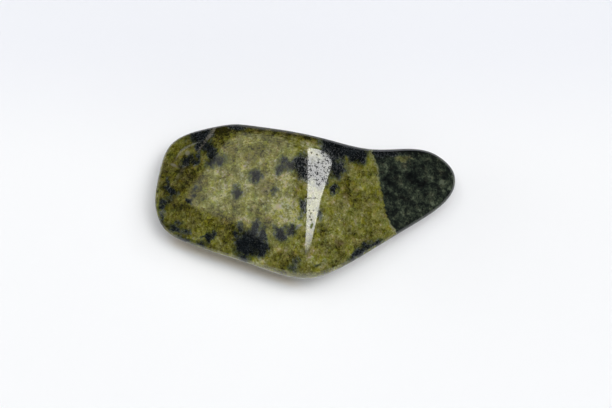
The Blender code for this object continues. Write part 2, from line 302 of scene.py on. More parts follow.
def rim_table():
    """Height of the turning line: the upper faces' edge less its drop."""
    theta = np.linspace(-math.pi, math.pi, STATIONS, endpoint=False)
    radius = read(RADIUS, theta)
    u, v = radius * np.cos(theta), radius * np.sin(theta)
    low, high = np.full(STATIONS, 1.0), np.full(STATIONS, 13.0)
    for _ in range(30):
        z = (low + high) / 2
        scale = 1.0
        for _ in range(3):
            y = (v / scale - COS_E * (z - AIM_HEIGHT)) / SIN_E
            depth = -COS_E * y + SIN_E * (z - AIM_HEIGHT)
            scale = VIEW_DISTANCE / (VIEW_DISTANCE - depth)
        inside = upper(u / scale, y, z) < 0
        low, high = np.where(inside, z, low), np.where(inside, high, z)
    return smooth_table(theta, low - bearing_table(RIM_DROP), 9.0)


def wall_grids():
    """Distance, depth of the turning line, edge and belly shape, together."""
    rim_rise = read(rim_table(), NEAR_BEARING) - AIM_HEIGHT
    rim_y = (NEAR_V - COS_E * rim_rise) / SIN_E
    return np.stack([DISTANCE, -COS_E * rim_y + SIN_E * rim_rise,
                     read(EDGE, NEAR_BEARING), read(RUN, NEAR_BEARING),
                     read(BELLY, NEAR_BEARING)], axis=-1)


GRIDS = wall_grids()


def stone(p):
    """Negative inside the stone, zero on its surface (mm)."""
    x, y, z = p[..., 0], p[..., 1], p[..., 2]
    bx, by = (x - BOWL_MIDDLE[0]) / BOWL_RADIUS_X, (y - BOWL_MIDDLE[1]) / BOWL_RADIUS_Y
    bowl = (BOWL_RADIUS_X * bx ** 2 / 2 + BOWL_RADIUS_Y * by ** 2 / 2 - BOWL_DROP - z) \
        / np.sqrt(1 + bx ** 2 + by ** 2)
    lower = [side(x, y, z), bowl] + [face(x, y, z, *f) for f in UNDER_FACES]
    return blend([upper(x, y, z), blend(lower, BLEND_UNDER), -z], BLEND_ALL)


def turning_line():
    """Points along the line where the sides turn under."""
    depth = near_outline(CURVE[:, 0], CURVE[:, 1])[1]
    u, v = (CURVE * ((VIEW_DISTANCE - depth) / VIEW_DISTANCE)[:, None]).T
    return np.stack([u, SIN_E * v - COS_E * depth, COS_E * v + SIN_E * depth + AIM_HEIGHT], -1)


# ---- fine mesh --------------------------------------------------------------
HEART = np.array([-2.0, -0.3, 5.4])      # inside point that the rays start from
REACH = np.array([18.0, 9.6, 6.2])       # stretches the ball of rays lengthwise
FLAT = 0.03                              # this close to the floor counts as flat
RIM_SHARE = 9 / 16                       # grid level, up the sides, that is bent
                                         # to follow the turning line
GRID = (216, 116, 64)    # quads along x, y and z of the wrapped box


def box_grid():
    """Lattice points and quads of a box surface, each quad facing out."""
    points, quads, count = [], [], 0
    for axis in range(3):
        b, c = (axis + 1) % 3, (axis + 2) % 3
        nb, nc = GRID[b], GRID[c]
        jb, jc = np.meshgrid(np.arange(nb + 1), np.arange(nc + 1), indexing="ij")
        for end in (0, GRID[axis]):
            p = np.zeros((nb + 1, nc + 1, 3), int)
            p[..., axis], p[..., b], p[..., c] = end, jb, jc
            index = count + np.arange((nb + 1) * (nc + 1)).reshape(nb + 1, nc + 1)
            q = np.stack([index[:-1, :-1], index[1:, :-1], index[1:, 1:], index[:-1, 1:]], -1)
            q = q.reshape(-1, 4)
            quads.append(q if end else q[:, ::-1])
            points.append(p.reshape(-1, 3))
            count += len(points[-1])
    points, first, back = np.unique(np.concatenate(points), axis=0,
                                    return_index=True, return_inverse=True)
    return points, back.reshape(-1)[np.concatenate(quads)]


def aim(lattice):
    """Ray directions of lattice points, with one level on the turning line."""
    box = np.tan((lattice / np.array(GRID) * 2 - 1) * (math.pi / 4))
    flat = box[:, :2] * REACH[:2]
    line = turning_line() - HEART
    away = np.hypot(line[:, 0], line[:, 1])
    climb = np.interp(np.arctan2(flat[:, 1], flat[:, 0]), np.arctan2(line[:, 1], line[:, 0]),
                      line[:, 2] / away, period=2 * math.pi)
    rim = climb * np.hypot(flat[:, 0], flat[:, 1]) / REACH[2]
    level = math.tan((round(RIM_SHARE * GRID[2]) / GRID[2] * 2 - 1) * math.pi / 4)
    z = box[:, 2]
    over = np.clip((z - level) / (1 - level), 0, 1) ** 1.25
    under = np.clip((level - z) / (level + 1), 0, 1) ** 1.25
    box[:, 2] = rim + (1 - rim) * over - (1 + rim) * under
    return box / np.linalg.norm(box, axis=1, keepdims=True) * REACH


def cast(lattice):
    """Moves lattice points out along rays to the stone's surface."""
    rays = aim(lattice)
    low, high = np.full(len(rays), 0.2), np.full(len(rays), 1.9)
    for _ in range(26):
        mid = (low + high) / 2
        inside = stone(HEART + rays * mid[:, None]) < 0
        low, high = np.where(inside, mid, low), np.where(inside, high, mid)
    found = HEART + rays * low[:, None]
    found[:, 2] = np.where(found[:, 2] < FLAT, 0.0, found[:, 2])
    return found


def in_view(p):
    """Place in the 612 x 408 view, and depth above the turning line (mm)."""
    rise = p[:, 2] - AIM_HEIGHT
    depth = -COS_E * p[:, 1] + SIN_E * rise
    scale = VIEW_DISTANCE / (VIEW_DISTANCE - depth)
    u, v = p[:, 0] * scale, (SIN_E * p[:, 1] + COS_E * rise) * scale
    return 305.3 + u / 0.12, 201.5 - v / 0.12, depth - near_outline(u, v)[1]


# ---- markings ---------------------------------------------------------------
# Dark ore patches: middle, half length and half width in view pixels, turn of
# the long side from level (degrees, up to the right), and how black.
PATCHES = [
    # back left
    (201, 135, 11, 5, 12, 1.0), (210, 149, 8, 3.8, -70, 0.74), (212, 157, 6, 4, -60, 0.75), (213, 152, 5, 4, -60, 0.6),
    (202, 141, 8, 4.5, -50, 1.05), (199, 148, 4.5, 3.6, -60, 0.95), (217, 161, 9, 4.5, 10, 0.55), (211, 163, 5, 4, 0, 0.6),
    (187, 161, 7.5, 3.6, 45, 0.78), (196, 161.5, 4.5, 3, 30, 0.6), (199, 156, 3, 3, 0, 0.4),
    (237, 127, 7, 3.2, -12, 0.8), (231, 126, 3, 2, 0, 0.5),
    # blunt end
    (168, 186, 2.4, 5.5, 0, 0.75), (172, 192, 5.5, 3.0, -20, 1.0), (170.5, 197, 4.5, 2.6, 55, 0.95),
    (164, 202, 3.4, 4.0, 60, 0.85), (161, 208, 2.6, 4.2, 60, 0.85), (162, 219, 3.0, 6, 0, 0.5),
    (176, 229, 8, 3.4, -22, 0.48), (187, 232, 3.5, 3.2, 0, 0.6), (179, 223, 4, 2.5, -10, 0.5),
    (185, 240, 9, 2.4, -26, 0.55), (201, 244, 5, 3, -10, 0.4),
    (193.5, 196, 2.2, 2.4, 60, 0.7), (189.5, 201, 3.0, 2.2, -20, 0.7), (196, 188, 3, 1.6, 40, 0.35),
    (209, 238, 3.2, 4.6, -20, 0.75), (213, 235, 3, 3, 0, 0.5), (205, 236, 4, 1.2, 20, 0.5),
    # on the level top
    (255.5, 175.5, 5.0, 5.6, 20, 1.05), (253.5, 180, 3.6, 3.4, 20, 0.75),
    (237.5, 194.0, 4.0, 4.4, 20, 0.9), (237, 188, 3.0, 3.6, 80, 0.36), (232, 193, 2.5, 2.5, 0, 0.3),
    (274.5, 190.5, 2.6, 3.4, 0, 0.5),
    (284, 161, 5.0, 4.2, -20, 0.50), (281, 168, 3.4, 5, -30, 0.50), (291, 165, 6, 5, 0, 0.75),
    (302, 164, 6.5, 8.5, 0, 1.1), (303, 172, 5, 7, 0, 1.1), (298, 163, 5, 6, 0, 0.9), (278, 172, 3, 3, 0, 0.4),
    (303.5, 204.5, 3.4, 4.6, 0, 0.75), (301, 216, 3, 3, 0, 0.35), (304, 211, 2, 3, 0, 0.4),
    # three-cornered face, slope beside it and back rim
    (316, 170, 12, 10, 0, 1.0), (321, 180, 6, 7.5, -20, 0.95), (309, 174, 5, 6, 0, 0.8),
    (336, 168, 8.5, 8, -20, 1.0), (330, 160, 8, 6, -30, 1.0), (341, 166, 5, 4, 0, 0.7),
    (328, 148, 8, 7, -15, 1.1), (340, 152, 16, 7.5, -13, 1.2), (333, 144, 12, 5, -16, 1.2),
    (356, 154, 14, 6.5, -12, 1.2), (350, 150, 20, 4.5, -13, 1.2), (362, 160, 6, 4.5, 0, 0.8),
    (374, 154, 9, 4, -5, 1.1), (379, 152, 18, 2.6, -6, 1.2), (352, 160, 6, 3, 20, 0.7),
    (334.0, 189.2, 3.6, 4.2, 0, 1.15), (338, 173, 4, 6, 0, 0.7),
    (319.5, 213, 2.4, 5, 10, 0.35), (311.5, 226, 2.0, 3.6, 10, 0.3),
    # front
    (248, 240, 9, 8, 60, 1.15), (258, 245, 9, 8, -60, 1.15), (242, 247, 7, 7, 0, 1.05),
    (254, 232, 4, 9, -20, 1.05), (248, 251, 13, 5, -20, 0.95), (261, 252, 5, 8, -10, 1.05),
    (262, 236, 3.5, 6, 10, 0.9), (257, 226.5, 3.0, 6.5, -5, 1.0), (263.5, 231.5, 2.6, 6, 0, 0.9),
    (265, 248, 3, 9, 0, 0.9), (240, 228, 2.5, 5, 0, 0.5), (236, 236, 3, 5, 0, 0.6),
    (245, 258, 8, 4, -22, 0.6), (238, 223, 2, 3, 0, 0.4),
    (280, 235, 5.2, 5.5, 70, 0.85), (278, 229, 3, 4, 80, 0.75), (283, 238, 4, 3, 0, 0.8),
    (291, 229, 5.5, 4, 20, 0.8), (293, 233, 4, 3, 40, 0.6),
    (293, 268, 5, 4, -10, 0.28), (296, 262, 4, 4, 0, 0.3), (317, 265.5, 4, 1.8, 0, 0.45),
    (361, 251, 13, 3.6, 40, 0.86), (355, 256, 6, 3.4, 40, 0.9), (367, 246, 5, 3, 35, 0.7),
    (376, 243.5, 7, 2.2, 30, 0.8),
]


# Green that reaches in between the patches: middle, half sizes, turn, strength.
CUTS = [
    (372, 158, 3.5, 8, 10, 2.2), (346, 158.5, 1.8, 4.5, 20, 1.3), (262, 262, 9, 4, -20, 1.2),
    (170, 196.5, 3, 2.2, 0, 0.8), (318, 147, 4, 2.5, 0, 1.0), (246, 227, 1.6, 6, 10, 0.7),
]


def turned(px, py, x, y, turn):
    a = math.radians(turn)
    dx, dy = px - x, y - py
    return dx * math.cos(a) + dy * math.sin(a), -dx * math.sin(a) + dy * math.cos(a)


def wavy(px, py, size, seed):
    """Even, smooth wander made of a few slanted waves, within about +-1."""
    rng = np.random.default_rng(seed)
    total = np.zeros_like(px)
    for k in range(9):
        a, f = rng.uniform(0, 2 * math.pi), rng.uniform(0.6, 1.7) / size
        total += np.sin(2 * math.pi * f * (px * math.cos(a) + py * math.sin(a)) + rng.uniform(0, 6.28))
    return total / 3.2


def dark_field(px, py):
    """Above 0 inside a dark patch; 1 well inside, falls to -1.5 outside."""
    wx = px + 1.3 * wavy(px, py, 9, 1) + 0.7 * wavy(px, py, 4, 2)
    wy = py + 1.3 * wavy(px, py, 9, 3) + 0.7 * wavy(px, py, 4, 4)
    best = np.full(px.shape, -2.2)
    for x, y, a, b, turn, black in PATCHES:
        s, t = turned(wx, wy, x, y, turn)
        r = np.sqrt((s / a) ** 2 + (t / b) ** 2)
        level = (black - 0.15) - 1.05 * (r ** 1.45) * min(1.0, 0.55 + 0.45 * black)
        top = np.maximum(best, level)
        best = top + 0.12 * np.log(np.exp((best - top) / 0.12) + np.exp((level - top) / 0.12))
    return np.maximum(best - spots(px, py, CUTS), -2.2)


NOSE_LINE = [(372, 140), (373, 154), (377.5, 165), (379, 178), (381.5, 190), (383, 200),
             (386, 213), (390.5, 223), (396.5, 232), (402, 240)]


def nose_field(px, py):
    """Distance in view pixels past the nose's edge, negative before it."""
    ys = np.array([p[1] for p in NOSE_LINE], float)
    xs = np.array([p[0] for p in NOSE_LINE], float)
    return px - np.interp(py, ys, xs) - 0.9 * wavy(px, py, 7, 5)


# Broad light and dark areas of the ground mass: partly its own tone, partly
# painted shade on faces turned from the light and painted reflection where the
# mirrored light and floor fall: middle, half sizes, turn, shift.
TONES_AND_PAINTED_LIGHT = [
    (235, 165, 40, 22, 20, 0.08), (285, 150, 26, 8, -10, 0.10), (228, 200, 34, 20, 5, 0.24),
    (284, 205, 12, 30, 0, 0.20), (250, 148, 26, 8, 0, -0.20), (350, 205, 32, 34, 0, 0.07),
    (345, 225, 20, 14, 0, 0.08), (178, 205, 14, 26, 0, -0.18), (225, 129, 40, 6, 5, -0.48),
    (262, 130, 30, 3.5, -6, -0.22),
    (300, 134, 36, 4, -12, -0.42), (205, 215, 26, 14, -20, -0.22), (222, 140, 8, 10, 0, -0.20),
    (350, 190, 12, 10, 0, -0.20), (190, 173, 13, 16, 0, -0.42), (285, 258, 16, 10, 0, -0.12),
    (322, 260, 10, 4.5, 0, 0.24), (230, 232, 20, 12, -20, -0.22), (365, 235, 14, 12, 20, -0.15),
    (301, 190, 4.5, 26, 0, -0.20), (320, 230, 8, 20, 0, -0.02), (298, 218, 7, 12, 0, 0.36), (334, 246, 14, 10, 0, -0.14),
    (312, 146, 8, 3, 0, 0.30), (165, 180, 6, 16, 0, -0.25), (257, 262, 8, 3.5, -15, 0.55),
]


# Where the grain is stronger, and lighter or darker blobs on the nose, among them two painted glints near its end.
GAINS = [(255, 195, 60, 45, 0, 1.0), (290, 210, 20, 50, 0, 0.3), (178, 205, 14, 22, 0, -1.0),
         (188, 158, 20, 24, 0, -0.8), (198, 228, 26, 12, -20, -0.7)]
NOSE_SPOTS_AND_GLINTS = [
    (402, 158.5, 9, 4.2, 0, 0.46), (436.5, 172.5, 4.5, 4, 0, -0.35), (427.5, 172.5, 3.5, 3.5, 0, 0.25),
    # the first two spots here are painted glints on the nose's rounded end
    (443.5, 181.5, 2.2, 1.5, 0, 0.7), (450, 188.5, 2.0, 1.5, 0, 0.6), (388, 228, 6, 5, 0, -0.1),
    (432, 199, 8, 8, 0, 0.16), (446, 186, 7, 10, 0, 0.12), (410, 182, 14, 7, 0, -0.08),
    (440, 194, 14, 16, 0, 0.05), (412, 157, 26, 6, 0, 0.12),
    (388, 150, 20, 4, 0, -0.35), (415, 151, 30, 3, 0, -0.30), (405, 225, 20, 5, -20, -0.10),
]


# Reddish-brown areas: middle, half sizes, turn, strength.
RUSTS = [
    (265, 186, 6, 7, 0, 0.75), (268.5, 220.5, 3.2, 3.0, 0, 0.9), (340, 243.5, 4.5, 2.6, -10, 0.8),
    (346, 197, 3, 4, 0, 0.5), (345, 168, 8, 4, 0, 0.25), (250, 158, 9, 5, 0, 0.25),
    (192, 197, 5, 4, 0, 0.3), (207, 136, 5, 3, 40, 0.35), (174, 165, 3, 1.6, -20, 0.4),
]

# Pits in the three-cornered face: middle, half sizes and turn.
PITS = [
    (309.4, 210.6, 0.9, 0.7, 0), (310.8, 213.4, 0.9, 1.0, 0), (309.8, 216.8, 0.7, 1.2, 0),
    (311.2, 219.8, 0.8, 1.2, 20), (313.6, 210.4, 0.6, 0.6, 0), (309.2, 205.4, 0.6, 0.6, 0),
    (311.5, 152.5, 1.2, 0.8, 20), (317.0, 154.6, 1.0, 0.7, 0),
]


def spots(px, py, table):
    total = np.zeros_like(px)
    for x, y, a, b, turn, shift in table:
        s, t = turned(px, py, x, y, turn)
        total += shift * np.exp(-0.7 * ((s / a) ** 2 + (t / b) ** 2))
    return total


CENTRE = [0.0, 0.0]      # where the stone's middle lies before it is centred


def build_stone():
    lattice, quads = box_grid()
    surface = cast(lattice)
    px, py, above = in_view(surface)
    middle = (surface.min(axis=0) + surface.max(axis=0)) / 2
    CENTRE[:] = middle[:2]
    mesh = bpy.data.meshes.new("stone_skin")
    place = surface.copy()
    place[:, :2] -= middle[:2]
    mesh.from_pydata((place * MM).tolist(), [], quads.tolist())
    mesh.update()
    mesh.shade_smooth()
    fields = {
        "dark": dark_field(px, py),
        "nose": nose_field(px, py),
        # tone of the ground mass together with painted shade and painted reflection
        "tone_and_painted_light": spots(px, py, TONES_AND_PAINTED_LIGHT),
        "gain": spots(px, py, GAINS),
        # blobs on the nose, and two painted glints
        "glow": spots(px, py, NOSE_SPOTS_AND_GLINTS),
        "rust": spots(px, py, RUSTS),
        "seen": 1 / (1 + np.exp(-(above + 0.55) / 0.16)),
    }
    for name, values in fields.items():
        layer = mesh.attributes.new(name, "FLOAT", "POINT")
        layer.data.foreach_set("value", values.astype(np.float32))
    return mesh, middle


# ---- shader helper ----------------------------------------------------------
class Nodes:
    """Short calls for nodes whose inputs are numbers or other nodes' outputs."""

    def __init__(self, material):
        self.tree = material.node_tree

    def put(self, kind, settings=None, **inputs):
        node = self.tree.nodes.new(kind)
        for key, value in (settings or {}).items():
            setattr(node, key, value)
        for key, value in inputs.items():
            self.plug(node.inputs[key.replace("_", " ")], value)
        return node

    def plug(self, socket, value):
        if isinstance(value, bpy.types.NodeSocket):
            self.tree.links.new(value, socket)
        else:
            socket.default_value = value

    def math(self, op, *values, clamp=False):
        node = self.tree.nodes.new("ShaderNodeMath")
        node.operation, node.use_clamp = op, clamp
        for socket, value in zip(node.inputs, values):
            self.plug(socket, value)
        return node.outputs[0]

    def add(self, *v):
        return self.math("ADD", *v)

    def sub(self, *v):
        return self.math("SUBTRACT", *v)

    def mul(self, *v):
        return self.math("MULTIPLY", *v)

    def step(self, value, low, high):
        """Smooth step of value from low to high, 0 to 1."""
        node = self.tree.nodes.new("ShaderNodeMapRange")
        node.interpolation_type = "SMOOTHSTEP"
        for socket, v in zip(node.inputs, (value, low, high, 0.0, 1.0)):
            self.plug(socket, v)
        return node.outputs[0]

    def mix(self, factor, a, b, mode="MIX"):
        node = self.tree.nodes.new("ShaderNodeMix")
        node.data_type, node.blend_type = "RGBA", mode
        self.plug(node.inputs[0], factor)
        for socket, v in ((node.inputs[6], a), (node.inputs[7], b)):
            if isinstance(v, bpy.types.NodeSocket):
                self.tree.links.new(v, socket)
            else:
                socket.default_value = tuple(v) + (1.0,)
        return node.outputs[2]

    def mixf(self, factor, a, b):
        node = self.tree.nodes.new("ShaderNodeMix")
        node.data_type = "FLOAT"
        for socket, v in zip((node.inputs[0], node.inputs[2], node.inputs[3]), (factor, a, b)):
            self.plug(socket, v)
        return node.outputs[0]

    def ramp(self, value, stops, mode="LINEAR"):
        node = self.tree.nodes.new("ShaderNodeValToRGB")
        node.color_ramp.interpolation = mode
        elements = node.color_ramp.elements
        while len(elements) > 1:
            elements.remove(elements[-1])
        elements[0].position, elements[0].color = stops[0][0], tuple(stops[0][1]) + (1.0,)
        for place, colour in stops[1:]:
            new = elements.new(place)
            new.color = tuple(colour) + (1.0,)
        self.plug(node.inputs[0], value)
        return node.outputs[0]

    def noise(self, at, scale, detail=2.0, rough=0.5, warp=0.0, kind="FBM", lacunarity=2.0):
        node = self.put("ShaderNodeTexNoise", {"noise_type": kind, "normalize": kind == "FBM"},
                        Vector=at, Scale=scale, Detail=detail, Roughness=rough,
                        Distortion=warp, Lacunarity=lacunarity)
        return node.outputs["Fac"]

    def field(self, name):
        node = self.tree.nodes.new("ShaderNodeAttribute")
        node.attribute_name = name
        return node.outputs["Fac"]

    def bend(self, at, scale, reach):
        """Coordinates pushed about by up to half of reach, in mm."""
        push = self.put("ShaderNodeTexNoise", {"noise_type": "FBM", "normalize": True},
                        Vector=at, Scale=scale, Detail=1.0, Roughness=0.5)
        half = self.put("ShaderNodeVectorMath", {"operation": "SUBTRACT"})
        self.plug(half.inputs[0], push.outputs["Color"])
        half.inputs[1].default_value = (0.5, 0.5, 0.5)
        out = self.put("ShaderNodeVectorMath", {"operation": "MULTIPLY_ADD"})
        self.plug(out.inputs[0], half.outputs[0])
        out.inputs[1].default_value = (reach * 2, reach * 2, reach * 2)
        self.plug(out.inputs[2], at)
        return out.outputs[0]

    def cells(self, at, scale):
        """Two chance values for each cell, and the distance from its middle."""
        node = self.put("ShaderNodeTexVoronoi", {"feature": "F1"}, Vector=at, Scale=scale)
        split = self.put("ShaderNodeSeparateColor")
        self.plug(split.inputs[0], node.outputs["Color"])
        return split.outputs[0], split.outputs[1], node.outputs["Distance"]

    def places(self, at):
        """The same place that in_view gives, for the point being shaded."""
        split = self.put("ShaderNodeSeparateXYZ", Vector=at)
        x, y = self.add(split.outputs["X"], CENTRE[0]), self.add(split.outputs["Y"], CENTRE[1])
        rise = self.sub(split.outputs["Z"], AIM_HEIGHT)
        depth = self.add(self.mul(y, -COS_E), self.mul(rise, SIN_E))
        scale = self.math("DIVIDE", VIEW_DISTANCE / 0.12, self.sub(VIEW_DISTANCE, depth))
        up = self.add(self.mul(y, SIN_E), self.mul(rise, COS_E))
        return self.add(self.mul(x, scale), 305.3), self.sub(201.5, self.mul(up, scale))

    def oval(self, px, py, x, y, a, b, turn):
        """1 inside a small oval of half sizes a and b, soft at its edge."""
        c, s = math.cos(math.radians(turn)), math.sin(math.radians(turn))
        dx, dy = self.sub(px, x), self.sub(y, py)
        along = self.add(self.mul(dx, c / a), self.mul(dy, s / a))
        across = self.add(self.mul(dx, -s / b), self.mul(dy, c / b))
        r = self.add(self.mul(along, along), self.mul(across, across))
        return self.step(r, 1.6, 0.5)

    def stretch(self, at, turn, size):
        node = self.tree.nodes.new("ShaderNodeMapping")
        self.plug(node.inputs["Vector"], at)
        node.inputs["Rotation"].default_value = [math.radians(a) for a in turn]
        node.inputs["Scale"].default_value = size
        return node.outputs[0]


def serpentine():
    material = bpy.data.materials.new("serpentine")
    material.use_nodes = True
    n = Nodes(material)
    shader = material.node_tree.nodes["Principled BSDF"]
    place = n.put("ShaderNodeTexCoord").outputs["Object"]
    mm = n.put("ShaderNodeVectorMath", {"operation": "SCALE"})
    n.plug(mm.inputs[0], place)
    mm.inputs["Scale"].default_value = 1000.0
    at = mm.outputs[0]
    seen = n.field("seen")
    px, py = n.places(at)

    # grain: equal strength at every size from 2 mm down to 0.1 mm
    grain = n.sub(n.noise(at, 0.55, 4.5, 0.95, 0.0), 0.5)
    fine = n.noise(at, 4.6, 1.5, 0.8, 0.0)
    hue = n.sub(n.noise(at, 1.5, 3.0, 0.8, 0.8), 0.5)
    broad = n.sub(n.noise(at, 0.16, 2.0, 0.6, 0.4), 0.5)

    # grains with an edge of their own: each has one shade and one tint
    bent = n.bend(at, 2.2, 0.30)
    big, big_tint, _ = n.cells(n.stretch(bent, (0, 0, 15), (1.25, 0.8, 0.9)), 1.75)
    small, small_tint, _ = n.cells(n.stretch(bent, (0, 0, -20), (1.2, 0.85, 0.9)), 3.9)
    # short pale threads
    thread = n.sub(n.noise(n.stretch(at, (20, 10, 35), (1.0, 1.5, 1.2)), 1.5, 1.0, 0.5, 0.4), 0.5)
    thread = n.mul(n.step(n.math("ABSOLUTE", thread), 0.030, 0.004),
                   n.step(n.noise(at, 1.3, 1.0, 0.5, 0.0), 0.49, 0.58))
    # small dark specks
    _, chance, far = n.cells(at, 1.25)
    specks = n.mul(n.step(far, 0.17, 0.08), n.step(chance, 0.60, 0.64))

    # ground mass
    level = n.add(n.mul(grain, n.add(2.4, n.mul(n.field("gain"), 0.9))), 0.47)
    level = n.add(level, n.mul(n.sub(fine, 0.5), 0.32))
    level = n.add(level, n.add(n.mul(n.sub(big, 0.5), 0.20), n.mul(n.sub(small, 0.5), 0.26)))
    level = n.add(level, n.mul(thread, 0.27))
    # broad tone on the side seen, carrying painted shade and painted reflection
    level = n.add(level, n.mixf(seen, n.mul(broad, 1.0), n.field("tone_and_painted_light")))
    # polishing arcs along the far edge of the level top: real scratches, painted in as their glint
    round_x, round_y = n.mul(n.sub(px, 265.0), 0.77), n.sub(py, 190.0)
    arc = n.math("SQRT", n.add(n.mul(round_x, round_x), n.mul(round_y, round_y)))
    wave = n.math("SINE", n.mul(n.add(arc, n.mul(hue, 2.0)), 2.5))
    arc_glint_belt = n.mul(n.mul(n.step(arc, 38.0, 50.0), n.step(arc, 58.5, 56.0)), n.step(py, 162.0, 152.0))
    level = n.add(level, n.mul(n.mul(n.mul(wave, arc_glint_belt), seen), 0.09))
    ground = n.ramp(level, [
        (0.00, (0.022, 0.020, 0.005)), (0.18, (0.058, 0.053, 0.010)),
        (0.39, (0.108, 0.103, 0.022)), (0.50, (0.134, 0.132, 0.030)),
        (0.61, (0.165, 0.165, 0.041)), (0.83, (0.230, 0.227, 0.080)), (1.00, (0.33, 0.325, 0.16)),
    ])
    # yellower and greyer grains, with some reddish and some leaf-green ones
    tint = n.add(n.add(n.mul(n.sub(big_tint, 0.5), 0.9), n.mul(n.sub(small_tint, 0.5), 0.7)),
                 n.mul(hue, 3.0))
    ground = n.mix(n.mul(n.step(tint, 0.0, 0.8), 0.9), ground,
                   n.mix(1.0, ground, (0.98, 0.97, 1.62), "MULTIPLY"))
    ground = n.mix(n.mul(n.step(tint, 0.0, -0.8), 0.9), ground,
                   n.mix(1.0, ground, (1.03, 1.03, 0.38), "MULTIPLY"))
    other = n.sub(n.noise(at, 1.1, 3.0, 0.8, 0.6), 0.5)
    ground = n.mix(n.mul(n.step(other, 0.03, 0.16), 0.75), ground,
                   n.mix(1.0, ground, (1.08, 0.86, 1.10), "MULTIPLY"))
    ground = n.mix(n.mul(n.step(other, -0.03, -0.16), 0.75), ground,
                   n.mix(1.0, ground, (0.86, 1.03, 0.90), "MULTIPLY"))
    ground = n.mix(n.mul(specks, 0.65), ground, (0.030, 0.026, 0.012))
    rust = n.mul(n.mul(n.field("rust"), seen), n.step(n.add(grain, n.mul(n.sub(fine, 0.5), 0.5)), -0.14, 0.10))
    ground = n.mix(rust, ground, (0.125, 0.080, 0.055))

    # nose: dark green with soft lighter mottling
    nose_grain = n.sub(n.noise(at, 0.75, 3.5, 0.85, 0.0), 0.5)
    nose_level = n.add(n.mul(nose_grain, 3.0), 0.52)
    nose_level = n.add(nose_level, n.mul(n.sub(fine, 0.5), 0.36))
    nose_level = n.add(nose_level, n.mul(n.sub(small, 0.5), 0.20))
    # lighter blobs and painted glints on the nose
    nose_level = n.add(nose_level, n.mul(n.field("glow"), seen))
    nose_colour = n.ramp(nose_level, [
        (0.0, (0.004, 0.005, 0.005)), (0.25, (0.008, 0.010, 0.009)), (0.50, (0.015, 0.020, 0.015)),
        (0.72, (0.029, 0.037, 0.025)), (0.90, (0.048, 0.060, 0.038)), (1.0, (0.085, 0.100, 0.068)),
    ])
    nose_colour = n.mix(n.mul(n.step(other, 0.02, 0.16), 0.7), nose_colour,
                        n.mix(1.0, nose_colour, (1.15, 0.92, 0.9), "MULTIPLY"))
    past = n.add(n.field("nose"), n.mul(grain, 2.6))
    in_nose = n.step(past, -1.0, 1.0)
    # thin pale vein on that border
    vein = n.mul(n.step(n.math("ABSOLUTE", n.add(past, 0.8)), 1.3, 0.1), seen)
    vein = n.mul(vein, n.add(n.mul(n.step(py, 216.0, 222.0), 0.62), n.mul(n.step(py, 192.0, 172.0), 0.42)))

    # ore patches, hazy dark green round the edge
    edge = n.add(n.mul(grain, 1.7), n.add(n.mul(n.sub(fine, 0.5), 0.5), n.mul(n.sub(small, 0.5), 0.7)))
    drift = n.sub(n.noise(at, 0.13, 1.0, 0.5, 0.3), 0.5)
    spread = n.sub(n.noise(at, 0.34, 2.0, 0.5, 0.6), 0.62)
    hidden = n.add(n.mul(spread, 6.5), n.mul(drift, 3.5))
    dark = n.mixf(seen, hidden, n.field("dark"))
    halo = n.mul(n.step(n.add(dark, n.mul(edge, 0.6)), -1.45, -0.35), 0.70)
    ore = n.step(n.add(dark, edge), -0.80, 0.32)
    ore_level = n.add(n.mul(grain, 2.2), n.add(0.36, n.mul(n.sub(fine, 0.5), 0.45)))
    ore_level = n.add(ore_level, n.mul(n.step(dark, 0.55, -0.7), 0.40))
    ore_colour = n.ramp(ore_level, [
        (0.0, (0.0018, 0.0022, 0.0028)), (0.40, (0.006, 0.008, 0.009)), (0.62, (0.016, 0.020, 0.022)),
        (0.85, (0.045, 0.052, 0.048)), (1.0, (0.10, 0.105, 0.085)),
    ])
    colour = n.mix(halo, ground, n.mix(1.0, ground, (0.28, 0.38, 0.60), "MULTIPLY"))
    olive = n.mul(n.step(n.add(n.field("glow"), n.mul(nose_grain, 1.0)), 0.24, 0.52), n.mul(n.step(px, 428.0, 418.0), 0.6))
    colour = n.mix(n.mul(in_nose, n.sub(1.0, n.mul(olive, seen))), colour, nose_colour)
    colour = n.mix(vein, colour, (0.17, 0.19, 0.13))
    colour = n.mix(ore, colour, ore_colour)

    # fine crack, pits and a green slot on the three-cornered face
    dip = n.sub(py, n.add(198.4, n.mul(n.math("SINE", n.mul(px, 1.15)), 0.55)))
    mark = n.mul(n.step(n.math("ABSOLUTE", dip), 0.95, 0.25),
                 n.mul(n.step(px, 306.6, 307.4), n.step(px, 318.4, 317.2)))
    mark = n.mul(mark, n.step(fine, 0.36, 0.50))
    for x, y, a, b, turn in PITS:
        mark = n.math("MAXIMUM", mark, n.oval(px, py, x, y, a, b, turn))
    mark = n.mul(mark, seen)
    slot = n.mul(n.oval(px, py, 311.6, 226.0, 3.3, 1.2, 72), seen)
    colour = n.mix(n.mul(mark, 0.8), colour, (0.045, 0.042, 0.022))
    colour = n.mix(slot, colour, (0.10, 0.12, 0.022))

    # pale streak down the back-left ridge, a painted highlight of the ridge, with pale spots beside it
    painted_ridge_highlight = n.math("MAXIMUM", n.oval(px, py, 207.0, 139.0, 15.0, 1.5, 54),
                     n.mul(n.oval(px, py, 180.0, 174.0, 13.0, 1.7, 56), 0.40))
    painted_ridge_highlight = n.mul(n.mul(painted_ridge_highlight, seen), n.step(n.add(n.mul(grain, 2.2), n.mul(n.sub(fine, 0.5), 0.8)), -0.30, 0.32))
    colour = n.mix(n.mul(painted_ridge_highlight, 0.80), colour, (0.145, 0.132, 0.104))
